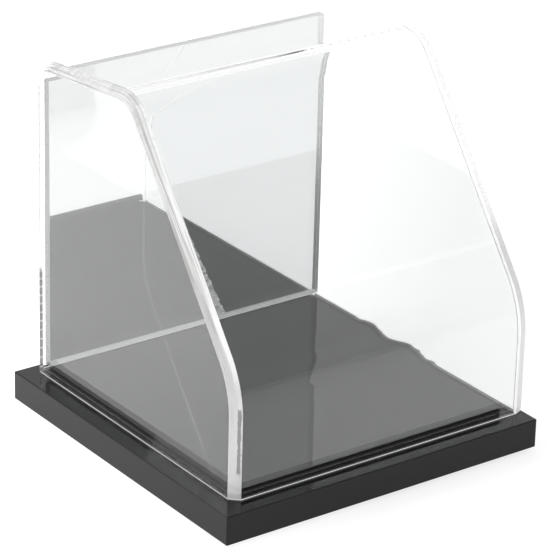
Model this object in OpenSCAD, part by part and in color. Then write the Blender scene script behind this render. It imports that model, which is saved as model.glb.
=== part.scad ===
// Display case for a small model: a clear lift-off cover over a gloss black base.
// The cover is one bent sheet closed by two profile-cut side panels, with a mirror at its back.
// Millimetres, +Z up, front toward -Y. The origin is the centre of the footprint, under the feet.

/* [Base] */
// Side of the square base slab
base_w = 120; // [120:1:160]
// Thickness of the base slab
base_t = 9.8; // [8:0.1:14]
// Width of the raised floor plate
riser_w = 101.6; // [98:0.1:102]
// Thickness of the raised floor plate
riser_t = 3; // [2:0.1:4]
// Shift of the raised floor plate to the right of the middle
riser_shift_x = 0.7; // [0:0.1:1]
// Shift of the raised floor plate to the back of the middle
riser_shift_y = 0.5; // [0:0.1:1]

/* [Feet] */
// Diameter of a bumper foot
foot_d = 8; // [6:0.5:12]
// Height of a bumper foot
foot_h = 1.5; // [1:0.1:3]
// Distance from the edges of the base to a foot's centre
foot_inset = 10; // [8:0.5:20]

/* [Cover] */
// Thickness of the clear sheet
sheet_t = 3; // [2:0.1:3.2]
// Clear width between the side panels
inner_w = 107.1; // [106:0.1:107.2]
// Depth of the cover over its front and back faces
cover_d = 111.4; // [110:0.1:112]
// Gap between the cover and the raised floor, where the cover has been pushed home
play = 0.3; // [0.2:0.1:0.5]
// Height from the base to the corner where the upright front turns into the slope
front_h = 37.2; // [20:0.1:60]
// Height from the base to the ridge corner, between the slope and the top
ridge_h = 112.4; // [100:0.1:125]
// Angle of the sloped front, from level
slope = 53; // [50:1:60]
// Fall of the top toward the back, in degrees
top_fall = 5.5; // [0:0.5:8]

/* [Bends and bevels] */
// Outer radius of the bend below the slope
low_r = 32; // [10:1:40]
// Outer radius of the bend at the ridge
ridge_r = 13; // [8:1:20]
// Outer radius of the bend at the back
back_r = 10; // [6:0.5:14]
// How far the left panel's edges are bevelled back at their outer side
left_bevel = 2.8; // [0.5:0.1:3]
// How far the right panel's edges are bevelled back at their outer side
right_bevel = 1.2; // [0.5:0.1:3]

/* [Mirror] */
// Width of the mirror sheet
mirror_w = 105; // [90:0.5:105.5]
// Height of the mirror sheet
mirror_h = 98; // [80:0.5:99]
// Thickness of the mirror sheet
mirror_t = 3; // [2:0.1:3]
// Thickness of the foam tape behind the mirror
tape_t = 1; // [0.5:0.1:1.5]
// Width of a tape strip
tape_w = 9; // [6:0.5:15]

/* [Hidden] */
$fn = 96;

base_top = foot_h + base_t;
floor_z = base_top + riser_t;

// The raised floor sets where the cover sits: home against its left and front edges.
riser_x0 = riser_shift_x - riser_w / 2;
riser_y0 = riser_shift_y - riser_w / 2;
wall_x0 = riser_x0 - play;                      // inner face of the left panel
wall_x1 = wall_x0 + inner_w;                    // inner face of the right panel
front_y = riser_y0 - play - sheet_t;
back_y = front_y + cover_d;

// Outward normals, as angles in the Y-Z plane, of the front, slope, top and back.
NORMAL = [180, 90 + slope, 90 - top_fall, 0];
RADIUS = [low_r, ridge_r, back_r];

// Sharp outer corners between those four faces.
ridge_z = base_top + ridge_h;
low_corner = [front_y, base_top + front_h];
ridge_corner = [front_y + (ridge_h - front_h) / tan(slope), ridge_z];
back_corner = [back_y, ridge_z - (back_y - ridge_corner[0]) * tan(top_fall)];
CORNER = [low_corner, ridge_corner, back_corner];

function unit(a) = [cos(a), sin(a)];

// Centre of bend k: its corner moved in along the bisector of the two normals.
function bend_centre(k) =
    let (mid = (NORMAL[k] + NORMAL[k + 1]) / 2, half = (NORMAL[k] - NORMAL[k + 1]) / 2)
    CORNER[k] - unit(mid) * RADIUS[k] / cos(half);

// Turns a drawing in (Y, Z), extruded along +Z, so that it stands along +X.
module along_x(x) {
    translate([x, 0, 0]) rotate([90, 0, 90]) children();
}

// The sharp corner at bend k of the side view, d inside its outer face.
function corner_point(k, d) =
    let (mid = (NORMAL[k] + NORMAL[k + 1]) / 2, half = (NORMAL[k] - NORMAL[k + 1]) / 2)
    bend_centre(k) + unit(mid) * (RADIUS[k] - d) / cos(half);

// The cover's side view, d inside its outer face, down to height foot.
module side_view(d, foot) {
    reach = 2.2;                                 // in bend radii, enough to pass the sharp corner
    difference() {
        polygon(concat(
            [[front_y + d, foot]],
            [for (k = [0 : 2]) corner_point(k, d)],
            [[back_y - d, foot]]));
        for (k = [0 : 2]) difference() {
            polygon([bend_centre(k),
                     bend_centre(k) + reach * RADIUS[k] * unit(NORMAL[k]),
                     bend_centre(k) + reach * RADIUS[k] * unit(NORMAL[k + 1])]);
            translate(bend_centre(k)) circle(r = RADIUS[k] - d);
        }
    }
}

// A side panel from its inner face at x = 0 to its outer face at x = sheet_t, edges bevelled.
module side_panel(bevel) {
    skin = 0.01;
    hull() {
        linear_extrude(skin) side_view(0, base_top);
        translate([0, 0, sheet_t - skin]) linear_extrude(skin) side_view(bevel, base_top);
    }
}

module base_slab() {
    color("#101011") translate([-base_w / 2, -base_w / 2, foot_h]) cube([base_w, base_w, base_t]);
}

module riser_plate() {
    color("#161617") translate([riser_x0, riser_y0, base_top]) cube([riser_w, riser_w, riser_t]);
}

// A bumper foot: a short rubber disc with its lower edge taken off.
module foot(sx, sy) {
    arm = base_w / 2 - foot_inset;
    edge = foot_h / 3;
    color("#242424") translate([sx * arm, sy * arm, 0]) {
        cylinder(h = edge, d1 = foot_d - 2 * edge, d2 = foot_d);
        translate([0, 0, edge]) cylinder(h = foot_h - edge, d = foot_d);
    }
}

module wrap_sheet() {
    color("#dfe6e8", 0.35) along_x(wall_x0) linear_extrude(inner_w) difference() {
        side_view(0, base_top);
        side_view(sheet_t, base_top - 1);
    }
}

module left_side_panel() {
    color("#d5dee0", 0.35) mirror([1, 0, 0]) along_x(-wall_x0) side_panel(left_bevel);
}

module right_side_panel() {
    color("#d5dee0", 0.35) along_x(wall_x1) side_panel(right_bevel);
}

mirror_x0 = wall_x0 + 0.2;
mirror_y0 = back_y - sheet_t - tape_t - mirror_t;
mirror_z0 = floor_z + play;

module mirror_panel() {
    color("#c8ccce") translate([mirror_x0, mirror_y0, mirror_z0]) cube([mirror_w, mirror_t, mirror_h]);
}

// A foam tape strip between the mirror and the back wall, x0 in from the mirror's left edge.
module tape(x0) {
    margin = 6;
    color("#eceae2") translate([mirror_x0 + x0, mirror_y0 + mirror_t, mirror_z0 + margin])
        cube([tape_w, tape_t, mirror_h - 2 * margin - back_r]);
}

base_slab();
riser_plate();
foot(-1, -1);  // foot_front_left
foot(1, -1);  // foot_front_right
foot(-1, 1);  // foot_back_left
foot(1, 1);  // foot_back_right
mirror_panel();
tape(8);  // tape_left
tape(mirror_w - tape_w - 8);  // tape_right
left_side_panel();
wrap_sheet();
right_side_panel();
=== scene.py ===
import math

import bmesh
import bpy
from mathutils import Matrix, Vector

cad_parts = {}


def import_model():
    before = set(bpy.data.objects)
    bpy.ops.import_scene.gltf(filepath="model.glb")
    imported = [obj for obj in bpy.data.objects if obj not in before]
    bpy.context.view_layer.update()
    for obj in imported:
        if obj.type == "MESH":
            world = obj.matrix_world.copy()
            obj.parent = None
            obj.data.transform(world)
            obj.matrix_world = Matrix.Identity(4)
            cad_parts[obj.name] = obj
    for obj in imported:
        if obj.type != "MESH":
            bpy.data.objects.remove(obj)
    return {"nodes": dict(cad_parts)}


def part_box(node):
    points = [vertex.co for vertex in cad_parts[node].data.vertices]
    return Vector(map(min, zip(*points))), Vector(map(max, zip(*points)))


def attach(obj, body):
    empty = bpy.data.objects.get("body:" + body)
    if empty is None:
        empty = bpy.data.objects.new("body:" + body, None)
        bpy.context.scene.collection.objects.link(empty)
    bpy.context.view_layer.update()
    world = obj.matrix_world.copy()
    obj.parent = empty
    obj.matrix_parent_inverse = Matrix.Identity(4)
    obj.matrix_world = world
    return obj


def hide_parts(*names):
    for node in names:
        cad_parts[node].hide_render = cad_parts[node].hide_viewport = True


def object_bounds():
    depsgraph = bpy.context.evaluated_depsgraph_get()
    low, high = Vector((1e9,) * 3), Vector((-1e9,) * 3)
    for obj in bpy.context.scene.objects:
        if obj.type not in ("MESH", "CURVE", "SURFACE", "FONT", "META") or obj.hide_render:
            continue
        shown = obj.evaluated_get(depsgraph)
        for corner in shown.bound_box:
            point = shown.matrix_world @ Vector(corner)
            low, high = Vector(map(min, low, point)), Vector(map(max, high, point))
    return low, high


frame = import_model()
cad_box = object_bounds()

MM = 0.001

# ---------------------------------------------------------------- dimensions from the frame
wrap_low, wrap_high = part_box("wrap_sheet")
left_low, left_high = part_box("left_side_panel")
right_low, right_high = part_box("right_side_panel")
slab_low, slab_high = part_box("base_slab")

SHEET = left_high.x - left_low.x          # thickness of the clear sheet
FRONT_Y, BACK_Y = wrap_low.y, wrap_high.y
BASE_TOP = slab_high.z

# The cover's side view, as the CAD draws it.
LOW_CORNER_H = 37.2 * MM                  # base to the corner under the slope
RIDGE_H = 112.4 * MM                      # base to the ridge corner
SLOPE = 53                                # sloped front, degrees from level
TOP_FALL = 5.5                            # fall of the top toward the back, degrees
BEND_R = (32 * MM, 13 * MM, 10 * MM)      # outer radii: under the slope, ridge, back
LEFT_BEVEL, RIGHT_BEVEL = 2.8 * MM, 1.2 * MM

ARRIS = 0.12 * MM                         # broken edge of a cut sheet
FOOT_ARRIS = 0.08 * MM                    # set-back of the scraped band round the cover's foot
FOOT_BAND = 0.4 * MM                      # height of that band
SEAT_GAP = 0.04 * MM                      # air under the loose cover
RIM = 6 * MM                              # depth of the panel's modelled rim

# Solvent that ran onto the slope from the left seam.
FILM_LOW, FILM_HIGH = 0.17, 0.6           # its ends, as shares of the slope's length
FILM_SPREAD = 3.4 * MM                    # how much wider it is at its lower end than at its upper
FILM_EDGE = 0.5 * MM                      # its width at the upper end
FILM_THICKNESS = 0.04 * MM
FILM_GAP = 0.02 * MM                      # air between the film and the sheets

# A dry patch of weld low on the left panel, at its front and back edges alike, and pinprick
# bubbles beside it, low on every edge. ACROSS counts from the rim's inner end, round the section.
DRY_LOW, DRY_HIGH = 20.5 * MM, 41 * MM
DRY_ACROSS = (6.5 * MM, 7.5 * MM)
PRICKS_ACROSS = (6.25 * MM, 6.9 * MM)

# The right weld has a painted glow, but for a strip along its inner edge. ACROSS as above, on the panel
# first and then on the end of the bent sheet.
WELD_GLOW_ACROSS = (3.8 * MM, 109.3 * MM)

# White emission that stands for light guided by the sheets to their frosted places.
FOOT_GLOW = 0.45                          # band round the cover's foot
WELD_GLOW = 0.24                          # right weld
BEVEL_GLOW_LEFT, BEVEL_GLOW_RIGHT = 0.1, 0.14   # left low down only, right all along

# Refractive indices of the black sheets, set to the photo's greys rather than the material's own.
SLAB_IOR, FLOOR_IOR = 1.34, 1.54

NORMALS = (180, 90 + SLOPE, 90 - TOP_FALL, 0)   # outward, in degrees: front, slope, top, back
BEND_STEPS = (28, 20, 22)                 # facets in each bend
BEND_HEAT = (0.55, 0.06, 0.1)             # how much each bend rippled as it was made


# ---------------------------------------------------------------- the cover's side view
def unit(angle):
    return Vector((math.cos(math.radians(angle)), math.sin(math.radians(angle))))


def bend_centres():
    """Centre of each bend, from the sharp corners between the four faces."""
    rise = RIDGE_H - LOW_CORNER_H
    low = Vector((FRONT_Y, BASE_TOP + LOW_CORNER_H))
    ridge = Vector((FRONT_Y + rise / math.tan(math.radians(SLOPE)), BASE_TOP + RIDGE_H))
    drop = (BACK_Y - ridge.x) * math.tan(math.radians(TOP_FALL))
    back = Vector((BACK_Y, ridge.y - drop))
    centres = []
    for k, corner in enumerate((low, ridge, back)):
        middle = (NORMALS[k] + NORMALS[k + 1]) / 2
        half = math.radians((NORMALS[k] - NORMALS[k + 1]) / 2)
        centres.append(corner - unit(middle) * BEND_R[k] / math.cos(half))
    return centres


def stations():
    """Points along the cover's outer face, front to back: place, outward normal (y, z), ripple."""
    guard = 0.5 * MM                      # keeps a bend's shading off the flats beside it
    foot = BASE_TOP + SEAT_GAP
    lift = Vector((0, FOOT_BAND))
    front, back = Vector((FRONT_Y, foot)), Vector((BACK_Y, foot))
    out = [(front, unit(NORMALS[0]), 0), (front + lift, unit(NORMALS[0]), 0)]
    for k, centre in enumerate(bend_centres()):
        first, last = unit(NORMALS[k]), unit(NORMALS[k + 1])
        along_first = Vector((first.y, -first.x))
        along_last = Vector((last.y, -last.x))
        out.append((centre + first * BEND_R[k] - along_first * guard, first, 0))
        for i in range(BEND_STEPS[k] + 1):
            share = i / BEND_STEPS[k]
            n = unit(NORMALS[k] + (NORMALS[k + 1] - NORMALS[k]) * share)
            out.append((centre + n * BEND_R[k], n, BEND_HEAT[k] * math.sin(math.tau * share) ** 2))
        out.append((centre + last * BEND_R[k] + along_last * guard, last, 0))
    out += [(back + lift, unit(NORMALS[3]), 0), (back, unit(NORMALS[3]), 0)]
    return out


STATIONS = stations()
ARC = [0.0]                               # each station's distance along the side view
for before, after in zip(STATIONS, STATIONS[1:]):
    ARC.append(ARC[-1] + (after[0] - before[0]).length)


# ---------------------------------------------------------------- mesh helpers
def finish_mesh(name, bm, materials, body, replaced=()):
    """Turns a bmesh into a named piece that rides on a body and stands for CAD nodes."""
    bmesh.ops.recalc_face_normals(bm, faces=bm.faces)
    mesh = bpy.data.meshes.new(name)
    bm.to_mesh(mesh)
    bm.free()
    obj = bpy.data.objects.new(name, mesh)
    bpy.context.scene.collection.objects.link(obj)
    for material in materials:
        mesh.materials.append(material)
    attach(obj, body)
    if replaced:
        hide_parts(*replaced)
    return obj


def straight_foot(a, b, i):
    """True where a strip between two rows is not set back at its foot, as on the inner faces."""
    return all(row[i].co.xy == row[i + 1].co.xy for row in (a, b))


def sweep(bm, section, kinds, closed, heated=0):
    """Runs a section of (depth, x, foot depth, foot x) points along the side view. Returns the rows.

    kinds gives the material index of the face strip between each point and the next. Edges along
    the run are sharp, so only the bends are shaded smooth. Each vertex keeps how far along the run
    and across the section it lies, and how much it rippled in the bending, times heated."""
    run = bm.verts.layers.float.new("run")
    across = bm.verts.layers.float.new("across")
    bend = bm.verts.layers.float.new("bend")
    last = len(STATIONS) - 1
    rows, travel, previous = [], 0.0, None
    for depth, x, foot_depth, foot_x in section:
        if previous is not None:
            travel += (Vector((depth, x)) - previous).length
        previous = Vector((depth, x))
        row = []
        for i, (point, n, ripple) in enumerate(STATIONS):
            at_foot = i in (0, last)
            at = point - n * (foot_depth if at_foot else depth)
            vert = bm.verts.new((foot_x if at_foot else x, at.x, at.y))
            vert[run], vert[across], vert[bend] = ARC[i], travel, ripple * heated
            row.append(vert)
        rows.append(row)
    count = len(rows) if closed else len(rows) - 1
    for j in range(count):
        a, b = rows[j], rows[(j + 1) % len(rows)]
        for i in range(last):
            face = bm.faces.new((a[i], a[i + 1], b[i + 1], b[i]))
            scraped = i in (0, last - 1) and kinds[j] != IS_BOND and not straight_foot(a, b, i)
            face.material_index = IS_ARRIS if scraped else kinds[j]
            face.smooth = True
        for i in (1, last - 1):
            bm.edges.get((a[i], b[i])).smooth = False
    for row in rows:
        for i in range(last):
            bm.edges.get((row[i], row[i + 1])).smooth = False
    return rows


def add_cap(bm, verts, kind):
    """Closes a loop with one flat face."""
    face = bm.faces.new(verts)
    face.material_index = kind
    for edge in face.edges:
        edge.smooth = False
    return face


def block(name, low, high, edge, materials, body, replaced, segments=3):
    """A sheet or slab with softly broken edges."""
    bm = bmesh.new()
    bmesh.ops.create_cube(bm, size=1)
    size, middle = high - low, (high + low) / 2
    bmesh.ops.scale(bm, vec=size, verts=bm.verts)
    bmesh.ops.translate(bm, vec=middle, verts=bm.verts)
    for face in bm.faces:
        face.smooth = True
    obj = finish_mesh(name, bm, materials, body, replaced)
    soft = obj.modifiers.new("broken_edges", "BEVEL")
    soft.width = edge
    soft.segments = segments
    soft.harden_normals = True
    return obj


# ---------------------------------------------------------------- material helpers
class Nodes:
    """Short names for building a node tree."""

    def __init__(self, tree):
        self.tree = tree
        self.tree.nodes.clear()

    def add(self, kind, **values):
        node = self.tree.nodes.new(kind)
        for key, value in values.items():
            setattr(node, key, value)
        return node

    def link(self, a, b):
        self.tree.links.new(a, b)

    def position(self, scale=(1, 1, 1), turn=(0, 0, 0)):
        """Object coordinates in metres, scaled and turned."""
        coords = self.add("ShaderNodeTexCoord")
        mapping = self.add("ShaderNodeMapping")
        mapping.inputs["Scale"].default_value = scale
        mapping.inputs["Rotation"].default_value = turn
        self.link(coords.outputs["Object"], mapping.inputs["Vector"])
        return mapping.outputs["Vector"]

    def noise(self, vector, scale, detail=3.0, rough=0.5):
        node = self.add("ShaderNodeTexNoise")
        node.inputs["Scale"].default_value = scale
        node.inputs["Detail"].default_value = detail
        node.inputs["Roughness"].default_value = rough
        self.link(vector, node.inputs["Vector"])
        return node.outputs["Fac"]

    def map(self, value, from_low, from_high, to_low, to_high):
        node = self.add("ShaderNodeMapRange")
        for key, number in (("From Min", from_low), ("From Max", from_high),
                            ("To Min", to_low), ("To Max", to_high)):
            node.inputs[key].default_value = number
        self.link(value, node.inputs["Value"])
        return node.outputs["Result"]

    def math(self, operation, a, b):
        node = self.add("ShaderNodeMath", operation=operation)
        self.link(a, node.inputs[0])
        self.link(b, node.inputs[1])
        return node.outputs["Value"]

    def attribute(self, name):
        """A number that the mesh keeps on its vertices."""
        return self.add("ShaderNodeAttribute", attribute_name=name).outputs["Fac"]

    def along(self, run_scale, across_scale):
        """Coordinates that follow a swept edge round its bends."""
        joined = self.add("ShaderNodeCombineXYZ")
        for socket, name, scale in (("X", "run", run_scale), ("Y", "across", across_scale)):
            scaled = self.add("ShaderNodeMath", operation="MULTIPLY")
            scaled.inputs[1].default_value = scale
            self.link(self.attribute(name), scaled.inputs[0])
            self.link(scaled.outputs["Value"], joined.inputs[socket])
        return joined.outputs["Vector"]

    def axes(self):
        """X, Y and height above the ground in metres, at rest."""
        split = self.add("ShaderNodeSeparateXYZ")
        self.link(self.position(), split.inputs["Vector"])
        return split.outputs["X"], split.outputs["Y"], split.outputs["Z"]

    def window(self, value, low, high, soft):
        """1 between low and high, falling to 0 over a soft width outside them."""
        rise = self.map(value, low - soft, low, 0.0, 1.0)
        fall = self.map(value, high, high + soft, 1.0, 0.0)
        return self.math("MULTIPLY", rise, fall)

    def by_side(self, x, left, right):
        """One number on the object's left half and another on its right half."""
        return self.map(x, -MM, MM, left, right)

    def cells(self, scale):
        """Distance from the middle of the nearest of many random cells."""
        node = self.add("ShaderNodeTexVoronoi")
        node.inputs["Scale"].default_value = scale
        self.link(self.position(), node.inputs["Vector"])
        return node.outputs["Distance"]

    def mix_color(self, a, b, share):
        """Blends two colours, each a tuple or another node's output, by a share from 0 to 1."""
        node = self.add("ShaderNodeMix", data_type="RGBA")   # 6 and 7 are its colour inputs, 0 its share
        for socket, value in ((6, a), (7, b)):
            if isinstance(value, tuple):
                node.inputs[socket].default_value = (*value, 1)
            else:
                self.link(value, node.inputs[socket])
        self.link(share, node.inputs[0])
        return node.outputs[2]

    def bump(self, height, distance, strength=1.0, normal=None):
        node = self.add("ShaderNodeBump")
        node.inputs["Distance"].default_value = distance
        node.inputs["Strength"].default_value = strength
        self.link(height, node.inputs["Height"])
        if normal is not None:
            self.link(normal, node.inputs["Normal"])
        return node.outputs["Normal"]

    def principled(self, color, roughness, ior=1.49, metallic=0.0, transmission=0.0):
        node = self.add("ShaderNodeBsdfPrincipled")
        node.inputs["Base Color"].default_value = (*color, 1)
        node.inputs["Roughness"].default_value = roughness
        node.inputs["IOR"].default_value = ior
        node.inputs["Metallic"].default_value = metallic
        node.inputs["Transmission Weight"].default_value = transmission
        return node

    def clear(self, passed=1.0):
        """Nothing at all, or a grey veil that passes a share of the light."""
        node = self.add("ShaderNodeBsdfTransparent")
        node.inputs["Color"].default_value = (passed, passed, passed, 1)
        return node

    def glow(self, shader, strength):
        """White light given off by a Principled shader, by a number or another node's output."""
        shader.inputs["Emission Color"].default_value = (1, 1, 1, 1)
        self.put(strength, shader.inputs["Emission Strength"])

    def put(self, value, socket):
        """Sets a socket to a number or links it to another node's output."""
        if isinstance(value, float):
            socket.default_value = value
        else:
            self.link(value, socket)

    def blend(self, a, b, share):
        """Sends a mix of two shaders to the material's surface, by a share from 0 to 1."""
        mix = self.add("ShaderNodeMixShader")
        self.put(share, mix.inputs["Fac"])
        self.link(a.outputs["BSDF"], mix.inputs[1])
        self.link(b.outputs["BSDF"], mix.inputs[2])
        self.output(mix.outputs["Shader"])

    def output(self, shader):
        out = self.add("ShaderNodeOutputMaterial")
        self.link(shader, out.inputs["Surface"])


def new_material(name):
    material = bpy.data.materials.new(name)
    material.use_nodes = True
    return material, Nodes(material.node_tree)


def glass_output(n, shader, passed):
    """Glass that lets lamp light through, dimmed by what its faces reflect."""
    rays = n.add("ShaderNodeLightPath")
    n.blend(shader, n.clear(passed), rays.outputs["Is Shadow Ray"])


# ---------------------------------------------------------------- materials
def clear_acrylic():
    """Polished clear sheet: barely wavy on the flats, rippled where it was heated to bend."""
    material, n = new_material("clear_acrylic")
    shader = n.principled((0.985, 0.992, 0.99), 0.0, transmission=1.0)
    waves = n.noise(n.position(), 14.0, detail=1.0)
    hairs = n.noise(n.position(scale=(1.0, 0.06, 0.6), turn=(0.5, 0.2, 0.7)), 2600.0, detail=2.0)
    fine = n.map(hairs, 0.62, 0.9, 0.0, 1.0)
    heat = n.noise(n.position(scale=(1.0, 2.0, 2.0)), 90.0, detail=1.0)
    ripple = n.math("MULTIPLY", heat, n.attribute("bend"))
    normal = n.bump(waves, 0.03 * MM)
    normal = n.bump(ripple, 0.16 * MM, normal=normal)
    normal = n.bump(fine, 0.0006 * MM, normal=normal)
    n.link(normal, shader.inputs["Normal"])
    glass_output(n, shader, 0.95)
    return material


def dry_patch(n, across, height, left):
    """Share of grey: where the weld behind the left panel's bevel stayed dry."""
    wander = n.map(n.noise(n.position(), 500.0, detail=3.0), 0, 1, -0.4 * MM, 0.4 * MM)
    strip = n.window(n.math("ADD", across, wander), *DRY_ACROSS, 0.1 * MM)
    patch = n.math("MULTIPLY", strip, n.window(height, DRY_LOW, DRY_HIGH, 0.8 * MM))
    return n.math("MULTIPLY", patch, left)


def pinpricks(n, across, height):
    """Share of black: fine bubbles in clusters, low on every bevelled edge."""
    dots = n.map(n.cells(1500.0), 0.2, 0.3, 1.0, 0.0)
    dots = n.math("MULTIPLY", dots, n.window(across, *PRICKS_ACROSS, 0.1 * MM))
    dots = n.math("MULTIPLY", dots, n.map(n.noise(n.position(), 220.0), 0.48, 0.56, 0.0, 1.0))
    return n.math("MULTIPLY", dots, n.map(height, 0.045, 0.055, 0.9, 0.0))


def milled_acrylic():
    """The bevelled edges: satin from the cutter, with strokes along the run, ribs on top of the left
    panel, a dry patch of weld and bubbles low down, and a faint painted glow that stands for guided
    light."""
    material, n = new_material("milled_acrylic")
    shader = n.principled((0.96, 0.965, 0.96), 0.35, transmission=0.5)
    x, _, height = n.axes()
    across = n.attribute("across")
    left = n.by_side(x, 1.0, 0.0)
    upper = n.map(height, 0.03, 0.09, 0.0, 1.0)
    top = n.math("MULTIPLY", n.map(height, 0.106, 0.113, 0.0, 1.0), left)
    strokes = n.noise(n.along(30.0, 1500.0), 1.0, detail=2.0)
    ribs = n.noise(n.along(520.0, 160.0), 1.0, detail=2.0, rough=0.6)
    normal = n.bump(n.math("MULTIPLY", strokes, upper), 0.12 * MM)
    normal = n.bump(n.math("MULTIPLY", ribs, top), 0.5 * MM, normal=normal)
    n.link(normal, shader.inputs["Normal"])
    n.link(n.map(strokes, 0.3, 0.7, 0.25, 0.5), shader.inputs["Roughness"])

    lines = n.math("MULTIPLY", n.map(strokes, 0.52, 0.6, 0.0, 1.0), n.map(height, 0.03, 0.09, 0.15, 1.0))
    lines = n.math("MULTIPLY", lines, n.by_side(x, 1.0, 0.3))
    ribbed = n.math("MULTIPLY", n.map(ribs, 0.45, 0.7, 0.0, 0.5), top)
    tone = n.mix_color((0.98, 0.98, 0.975), (0.55, 0.56, 0.55), n.math("MAXIMUM", lines, ribbed))
    tone = n.mix_color(tone, (0.27, 0.275, 0.27), dry_patch(n, across, height, left))
    tone = n.mix_color(tone, (0.12, 0.12, 0.12), pinpricks(n, across, height))
    n.link(tone, shader.inputs["Base Color"])
    # painted glow: white emission for guided light, low down on the left and all along the right
    low_glow = n.map(height, 0.03, 0.07, BEVEL_GLOW_LEFT, 0.0)
    n.glow(shader, n.math("MAXIMUM", low_glow, n.by_side(x, 0.0, BEVEL_GLOW_RIGHT)))
    glass_output(n, shader, 0.85)
    return material


def cut_acrylic():
    """Sawn and lightly scraped edges, which scatter light."""
    material, n = new_material("cut_acrylic")
    shader = n.principled((0.74, 0.75, 0.745), 0.35, transmission=0.75)
    grain = n.noise(n.position(), 3200.0, detail=3.0)
    n.link(n.map(grain, 0.3, 0.7, 0.2, 0.5), shader.inputs["Roughness"])
    n.link(n.bump(grain, 0.02 * MM), shader.inputs["Normal"])
    glass_output(n, shader, 0.8)
    return material


def scraped_arris():
    """The scraped band round the foot of the cover: frosted, passing light through from inside, and
    given a painted glow for what the sheet guides to it.
    """
    material, n = new_material("scraped_arris")
    scraped = n.principled((0.97, 0.97, 0.965), 0.3)
    # painted glow: white emission standing for light guided down the sheet to its foot
    n.glow(scraped, FOOT_GLOW)
    grain = n.noise(n.position(), 900.0, detail=2.0)
    n.link(n.map(grain, 0.3, 0.7, 0.2, 0.4), scraped.inputs["Roughness"])
    n.link(n.bump(grain, 0.01 * MM), scraped.inputs["Normal"])
    frosted = n.add("ShaderNodeBsdfTranslucent")
    frosted.inputs["Color"].default_value = (1, 1, 1, 1)
    n.blend(scraped, frosted, 0.5)
    return material


def foot_edge():
    """The cover's foot, scraped flat: it sits so close that the black sheet shows through it."""
    material, n = new_material("foot_edge")
    scraped = n.principled((0.5, 0.5, 0.5), 0.5)
    grain = n.noise(n.position(scale=(1.0, 1.0, 0.2)), 2600.0, detail=3.0)
    n.link(n.bump(grain, 0.02 * MM), scraped.inputs["Normal"])
    n.blend(n.clear(), scraped, n.map(grain, 0.35, 0.7, 0.05, 0.2))
    return material


def bonded_seam():
    """Solvent-welded faces, with fine milky lines along the weld and a few bubbles low down.

    The left weld is nearly clear, and the right one has gone milky and carries a painted glow for guided
    light."""
    material, n = new_material("bonded_seam")
    x, _, height = n.axes()
    lines = n.noise(n.along(25.0, 1600.0), 1.0, detail=2.0)
    bubbles = n.map(n.cells(1300.0), 0.14, 0.22, 1.0, 0.0)
    rare = n.map(n.noise(n.position(), 160.0, detail=1.0), 0.56, 0.64, 0.0, 1.0)
    low = n.map(height, 0.06, 0.07, 1.0, 0.0)
    bubbles = n.math("MULTIPLY", n.math("MULTIPLY", bubbles, rare), low)
    lines = n.math("MULTIPLY", n.map(lines, 0.55, 0.75, 0.0, 1.0), n.by_side(x, 0.12, 0.9))
    share = n.math("MAXIMUM", n.math("MAXIMUM", lines, bubbles), n.by_side(x, 0.0, 0.75))
    milk = n.principled((0.8, 0.81, 0.81), 0.3)
    # painted glow: white emission on the right weld that stands for guided light
    weld_glow_mask = n.window(n.attribute("across"), *WELD_GLOW_ACROSS, 0.3 * MM)
    n.glow(milk, n.math("MULTIPLY", weld_glow_mask, n.by_side(x, 0.0, WELD_GLOW)))
    n.link(n.mix_color((0.97, 0.975, 0.975), (0.3, 0.31, 0.31), bubbles), milk.inputs["Base Color"])
    n.blend(n.clear(), milk, share)
    return material


def dried_solvent():
    """A thin milky film with a crazed grain."""
    material, n = new_material("dried_solvent")
    grain = n.noise(n.position(scale=(0.4, 1.0, 1.0)), 1300.0, detail=4.0, rough=0.7)
    milk = n.principled((0.8, 0.81, 0.8), 0.4)
    n.link(n.bump(grain, 0.05 * MM), milk.inputs["Normal"])
    n.blend(n.clear(), milk, n.map(grain, 0.35, 0.65, 0.05, 0.5))
    return material


def black_acrylic(name, ior):
    """Gloss black sheet: deep colour, slight orange peel, faint hairlines and dust."""
    material, n = new_material(name)
    shader = n.principled((0.004, 0.004, 0.0043), 0.02, ior=ior)
    hairs = n.noise(n.position(scale=(0.05, 1.0, 1.0), turn=(0, 0, 0.6)), 2200.0, detail=2.0)
    marks = n.map(hairs, 0.66, 0.85, 0.0, 1.0)
    cloud = n.noise(n.position(), 60.0, detail=4.0)
    n.link(n.map(cloud, 0.35, 0.75, 0.005, 0.035), shader.inputs["Roughness"])
    normal = n.bump(n.noise(n.position(), 45.0, detail=1.0), 0.015 * MM)
    normal = n.bump(marks, 0.0001 * MM, normal=normal)
    n.link(normal, shader.inputs["Normal"])
    dust = n.noise(n.position(), 1900.0, detail=1.0)
    specks = n.map(dust, 0.79, 0.83, 0.0, 1.0)
    n.link(n.mix_color((0.004, 0.004, 0.0043), (0.05, 0.05, 0.05), specks), shader.inputs["Base Color"])
    n.output(shader.outputs["BSDF"])
    return material


def mirror_coat():
    """The silvered back face of the mirror sheet, seen through the sheet."""
    material, n = new_material("mirror_coat")
    shader = n.principled((0.86, 0.865, 0.87), 0.0, metallic=1.0)
    haze = n.noise(n.position(), 25.0, detail=3.0)
    n.link(n.map(haze, 0.3, 0.8, 0.0, 0.02), shader.inputs["Roughness"])
    n.link(n.bump(n.noise(n.position(), 9.0, detail=0.0), 0.05 * MM), shader.inputs["Normal"])
    n.output(shader.outputs["BSDF"])
    return material


def backing_paint():
    """Grey protective paint behind the silvering."""
    material, n = new_material("backing_paint")
    shader = n.principled((0.32, 0.33, 0.34), 0.5)
    speckle = n.noise(n.position(), 1500.0, detail=3.0)
    n.link(n.map(speckle, 0.3, 0.7, 0.38, 0.6), shader.inputs["Roughness"])
    n.link(n.bump(speckle, 0.01 * MM), shader.inputs["Normal"])
    tone = n.mix_color((0.28, 0.29, 0.3), (0.36, 0.37, 0.38), n.noise(n.position(), 120.0))
    n.link(tone, shader.inputs["Base Color"])
    n.output(shader.outputs["BSDF"])
    return material


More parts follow.
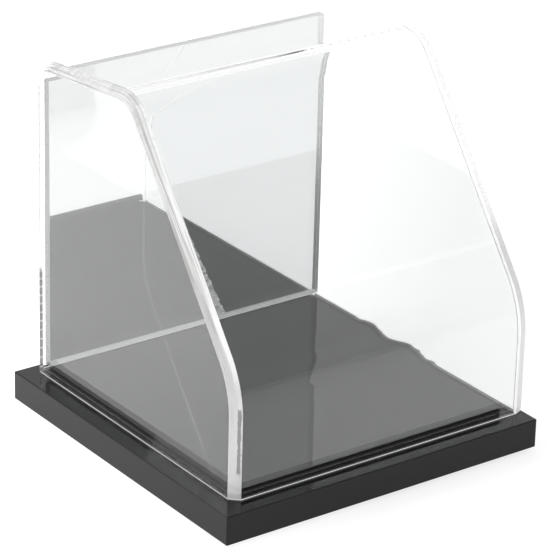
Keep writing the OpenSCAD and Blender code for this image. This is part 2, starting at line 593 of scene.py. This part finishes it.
def foam():
    """Off-white foam tape with open cells on its cut sides."""
    material, n = new_material("foam_tape")
    shader = n.principled((0.8, 0.79, 0.74), 0.8)
    n.link(n.bump(n.cells(2600.0), 0.08 * MM), shader.inputs["Normal"])
    tone = n.mix_color((0.62, 0.6, 0.54), (0.84, 0.83, 0.78), n.noise(n.position(), 700.0, detail=4.0))
    n.link(tone, shader.inputs["Base Color"])
    n.output(shader.outputs["BSDF"])
    return material


def rubber():
    """Moulded rubber with a fine matt grain."""
    material, n = new_material("foot_rubber")
    shader = n.principled((0.03, 0.03, 0.031), 0.6)
    grain = n.noise(n.position(), 2400.0, detail=4.0)
    n.link(n.map(grain, 0.3, 0.7, 0.5, 0.75), shader.inputs["Roughness"])
    n.link(n.bump(grain, 0.03 * MM), shader.inputs["Normal"])
    tone = n.mix_color((0.022, 0.022, 0.023), (0.05, 0.05, 0.05), n.noise(n.position(), 300.0))
    n.link(tone, shader.inputs["Base Color"])
    n.output(shader.outputs["BSDF"])
    return material


CLEAR = clear_acrylic()
MILLED = milled_acrylic()
CUT = cut_acrylic()
BOND = bonded_seam()
SOLVENT = dried_solvent()
SLAB_BLACK = black_acrylic("black_acrylic_slab", SLAB_IOR)
FLOOR_BLACK = black_acrylic("black_acrylic_floor", FLOOR_IOR)
FOOT_EDGE = foot_edge()
ARRIS_EDGE = scraped_arris()
COAT = mirror_coat()
PAINT = backing_paint()
FOAM = foam()
RUBBER = rubber()
COVER_MATERIALS = (CLEAR, BOND, FOOT_EDGE, MILLED, ARRIS_EDGE)
IS_CLEAR, IS_BOND, IS_FOOT, IS_MILLED, IS_ARRIS = range(5)


# ---------------------------------------------------------------- pieces of the cover
def wrap_sheet():
    """The bent sheet: its section run along the side view, with cut feet at both ends."""
    x0, x1 = wrap_low.x, wrap_high.x
    section = [(0, x0, FOOT_ARRIS, x0), (0, x1, FOOT_ARRIS, x1),
               (SHEET, x1, SHEET, x1), (SHEET, x0, SHEET, x0)]
    kinds = [IS_CLEAR, IS_BOND, IS_CLEAR, IS_BOND]
    bm = bmesh.new()
    rows = sweep(bm, section, kinds, closed=True, heated=1)
    for end in (0, -1):
        add_cap(bm, [row[end] for row in rows], IS_FOOT)
    return finish_mesh("clear_wrap_sheet", bm, COVER_MATERIALS, "cover", ["wrap_sheet"])


def side_panel(name, node, inner_x, outer_x, bevel):
    """A side panel: a swept rim with its bevelled edge, closed by flat faces and a cut foot."""
    inward = FOOT_ARRIS if outer_x < inner_x else -FOOT_ARRIS
    run = Vector((bevel, outer_x - inner_x)).normalized()
    end = Vector((bevel, outer_x)) - run * ARRIS
    foot_x = outer_x + inward
    section = [(RIM, inner_x, RIM, inner_x), (SHEET, inner_x, SHEET, inner_x),
               (0, inner_x, FOOT_ARRIS, inner_x), (end.x, end.y, bevel + FOOT_ARRIS, foot_x),
               (bevel + ARRIS, outer_x, bevel + 2 * FOOT_ARRIS, foot_x), (RIM, outer_x, RIM, foot_x)]
    kinds = [IS_CLEAR, IS_BOND, IS_MILLED, IS_MILLED, IS_CLEAR]
    bm = bmesh.new()
    rows = sweep(bm, section, kinds, closed=False)
    inner, outer = rows[0], rows[-1]
    add_cap(bm, inner, IS_CLEAR)
    add_cap(bm, outer[1:-1], IS_CLEAR)
    add_cap(bm, [outer[0], outer[1], outer[-2], outer[-1]], IS_ARRIS)
    add_cap(bm, [row[0] for row in rows] + [row[-1] for row in reversed(rows)], IS_FOOT)
    return finish_mesh(name, bm, COVER_MATERIALS, "cover", [node])


def film_width(share):
    """Width of the solvent film, at a share of its length from its lower end."""
    # Three waves of unlike length make the edge ragged.
    ragged = 0.12 * math.sin(47 * share) + 0.1 * math.sin(101 * share + 1) + 0.06 * math.sin(211 * share)
    return FILM_SPREAD * (1 - share) + FILM_EDGE * (1 + ragged * 3)


def solvent_run():
    """Solvent that ran from the left seam onto the sloped sheet's inner side: a thin film that
    widens downward to a ragged edge."""
    n = unit(NORMALS[1])
    centres = bend_centres()
    low, high = centres[0] + n * BEND_R[0], centres[1] + n * BEND_R[1]
    near = wrap_low.x + FILM_GAP
    steps = 60
    bm = bmesh.new()
    rows = []
    for i in range(steps + 1):
        share = i / steps
        place = low.lerp(high, FILM_LOW + (FILM_HIGH - FILM_LOW) * share)
        top = place - n * (SHEET + FILM_GAP)
        under = place - n * (SHEET + FILM_GAP + FILM_THICKNESS)
        far = near + film_width(share)
        corners = ((top, near), (top, far), (under, far), (under, near))
        rows.append([bm.verts.new((x, at.x, at.y)) for at, x in corners])
    for a, b in zip(rows, rows[1:]):
        for k in range(4):
            bm.faces.new((a[k], a[(k + 1) % 4], b[(k + 1) % 4], b[k]))
    bm.faces.new(rows[0])
    bm.faces.new(rows[-1])
    finish_mesh("solvent_run", bm, (SOLVENT,), "cover")


def mirror():
    """The mirror sheet: clear acrylic with a silvered back face, and paint over the silvering."""
    low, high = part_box("mirror_panel")
    paint = 0.12 * MM                     # thickness of the paint
    sheet_high = Vector((high.x, high.y - paint, high.z))
    body = block("mirror_sheet", low, sheet_high, 0.1 * MM, (CLEAR, COAT, CUT), "cover",
                 ["mirror_panel"])
    for face in body.data.polygons:
        if face.normal.y > 0.9:
            face.material_index = 1       # the silvered back
        elif abs(face.normal.y) < 0.1:
            face.material_index = 2       # the sawn edges
    inset = 0.15 * MM                     # the paint stops short of the sheet's edges
    paint_low = Vector((low.x + inset, sheet_high.y + 0.01 * MM, low.z + inset))
    paint_high = Vector((high.x - inset, high.y, high.z - inset))
    block("mirror_paint", paint_low, paint_high, 0.03 * MM, (PAINT,), "cover", [], 1)


def tape(node):
    """A foam tape strip, a little thinner than the space behind the mirror."""
    low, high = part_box(node)
    shy = 0.02 * MM                       # air on each side
    low, high = low + Vector((0, shy, 0)), high - Vector((0, shy, 0))
    block(node + "_strip", low, high, 0.15 * MM, (FOAM,), "cover", [node])


# ---------------------------------------------------------------- pieces of the base
def foot(node):
    """A bumper foot turned about its axis, with a rounded lower edge and a shallow dished sole."""
    low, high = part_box(node)
    middle = (low + high) / 2
    radius, height = (high.x - low.x) / 2, high.z - low.z
    edge, steps = 0.45 * height, 6
    profile = [(0, 0.12 * height), (0.55 * radius, 0.1 * height), (0.62 * radius, 0)]
    for i in range(steps + 1):
        a = math.radians(-90 + 90 * i / steps)
        profile.append((radius - edge + edge * math.cos(a), edge + edge * math.sin(a)))
    profile += [(radius, 0.9 * height), (radius - 0.1 * height, height), (0, height)]
    bm = bmesh.new()
    verts = [bm.verts.new((r, 0, z)) for r, z in profile]
    edges = [bm.edges.new(pair) for pair in zip(verts, verts[1:])]
    bmesh.ops.spin(bm, geom=verts + edges, cent=(0, 0, 0), axis=(0, 0, 1), angle=math.tau,
                   steps=48, use_merge=True)
    bmesh.ops.remove_doubles(bm, verts=bm.verts, dist=1e-6)
    bmesh.ops.translate(bm, vec=(middle.x, middle.y, low.z), verts=bm.verts)
    for face in bm.faces:
        face.smooth = True
    finish_mesh(node + "_bumper", bm, (RUBBER,), "base", [node])


# ---------------------------------------------------------------- build
wrap_sheet()
side_panel("clear_left_panel", "left_side_panel", left_high.x, left_low.x, LEFT_BEVEL)
side_panel("clear_right_panel", "right_side_panel", right_low.x, right_high.x, RIGHT_BEVEL)
solvent_run()
mirror()
for node in ("tape_left", "tape_right"):
    tape(node)
block("base_plinth", slab_low, slab_high, 0.35 * MM, (SLAB_BLACK,), "base", ["base_slab"])
riser_low, riser_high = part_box("riser_plate")
block("raised_floor", riser_low, riser_high, 0.2 * MM, (FLOOR_BLACK,), "base",
      ["riser_plate"])
for node in frame["nodes"]:
    if node.startswith("foot_"):
        foot(node)


# ---------------------------------------------------------------- studio
def floor():
    """A plain white floor that glows with painted light, brighter toward the back left."""
    bm = bmesh.new()
    bmesh.ops.create_grid(bm, x_segments=1, y_segments=1, size=4)
    mesh = bpy.data.meshes.new("studio_floor")
    bm.to_mesh(mesh)
    bm.free()
    obj = bpy.data.objects.new("studio_floor", mesh)
    bpy.context.scene.collection.objects.link(obj)
    material, n = new_material("studio_paper_painted_light")
    shader = n.principled((0.3, 0.3, 0.3), 0.9)
    shader.inputs["Specular IOR Level"].default_value = 0.1
    x, y, _ = n.axes()
    backward = n.math("SUBTRACT", y, x)
    # painted light: the floor's own glow, stronger toward the back left
    n.glow(shader, n.map(backward, -0.06, 0.2, 0.78, 1.3))
    n.output(shader.outputs["BSDF"])
    mesh.materials.append(material)


def world():
    """A bright sweep behind the object, falling off toward the camera's side of the room."""
    sky = bpy.data.worlds.new("studio")
    sky.use_nodes = True
    bpy.context.scene.world = sky
    n = Nodes(sky.node_tree)
    coords = n.add("ShaderNodeTexCoord")
    split = n.add("ShaderNodeSeparateXYZ")
    n.link(coords.outputs["Generated"], split.inputs["Vector"])
    level = n.map(split.outputs["Y"], -0.6, 0.5, 0.63, 1.0)
    background = n.add("ShaderNodeBackground")
    background.inputs["Color"].default_value = (1, 1, 1, 1)
    n.link(level, background.inputs["Strength"])
    out = n.add("ShaderNodeOutputWorld")
    n.link(background.outputs["Background"], out.inputs["Surface"])


def softbox(name, place, aim, width, height, power):
    """A rectangular area light that the camera does not see."""
    data = bpy.data.lights.new(name, "AREA")
    data.shape = "RECTANGLE"
    data.size, data.size_y = width, height
    data.energy = power
    obj = bpy.data.objects.new(name, data)
    bpy.context.scene.collection.objects.link(obj)
    way = Vector(aim) - Vector(place)
    obj.matrix_world = Matrix.Translation(place) @ way.to_track_quat("-Z", "Y").to_matrix().to_4x4()
    obj.visible_camera = False


def camera():
    """The photo's camera: a long lens above the left front, rolled a little."""
    azimuth, elevation, roll = math.radians(-36.5), math.radians(23.8), math.radians(1.5)
    distance = 1.013                      # fitted to the photo together with the lens and the angles
    low, high = (Vector(corner) for corner in cad_box)
    aim = (low + high) / 2 - Vector((0.7, 0.5, 7.9)) * MM
    back = Vector((math.sin(azimuth) * math.cos(elevation),
                   -math.cos(azimuth) * math.cos(elevation),
                   math.sin(elevation)))
    right = Vector((0, 0, 1)).cross(back).normalized()
    up = back.cross(right)
    turned_right = right * math.cos(roll) + up * math.sin(roll)
    turned_up = up * math.cos(roll) - right * math.sin(roll)
    data = bpy.data.cameras.new("camera")
    data.sensor_width = 36                # millimetres, as is the lens
    data.lens = 210.6
    data.clip_start, data.clip_end = 0.05, 20
    obj = bpy.data.objects.new("camera", data)
    bpy.context.scene.collection.objects.link(obj)
    turn = Matrix((turned_right, turned_up, back)).transposed().to_4x4()
    obj.matrix_world = Matrix.Translation(aim + back * distance) @ turn
    bpy.context.scene.camera = obj


floor()
world()
softbox("left_back", (-0.75, 0.5, 0.75), (-0.3, 0.2, 0), 0.8, 0.8, 6)
camera()
bpy.context.scene.view_settings.view_transform = "Standard"

# Light is guided a long way inside the clear sheets before it comes out at an edge.
bpy.context.scene.cycles.max_bounces = 40
bpy.context.scene.cycles.transmission_bounces = 40
bpy.context.scene.cycles.glossy_bounces = 24
bpy.context.scene.cycles.transparent_max_bounces = 24
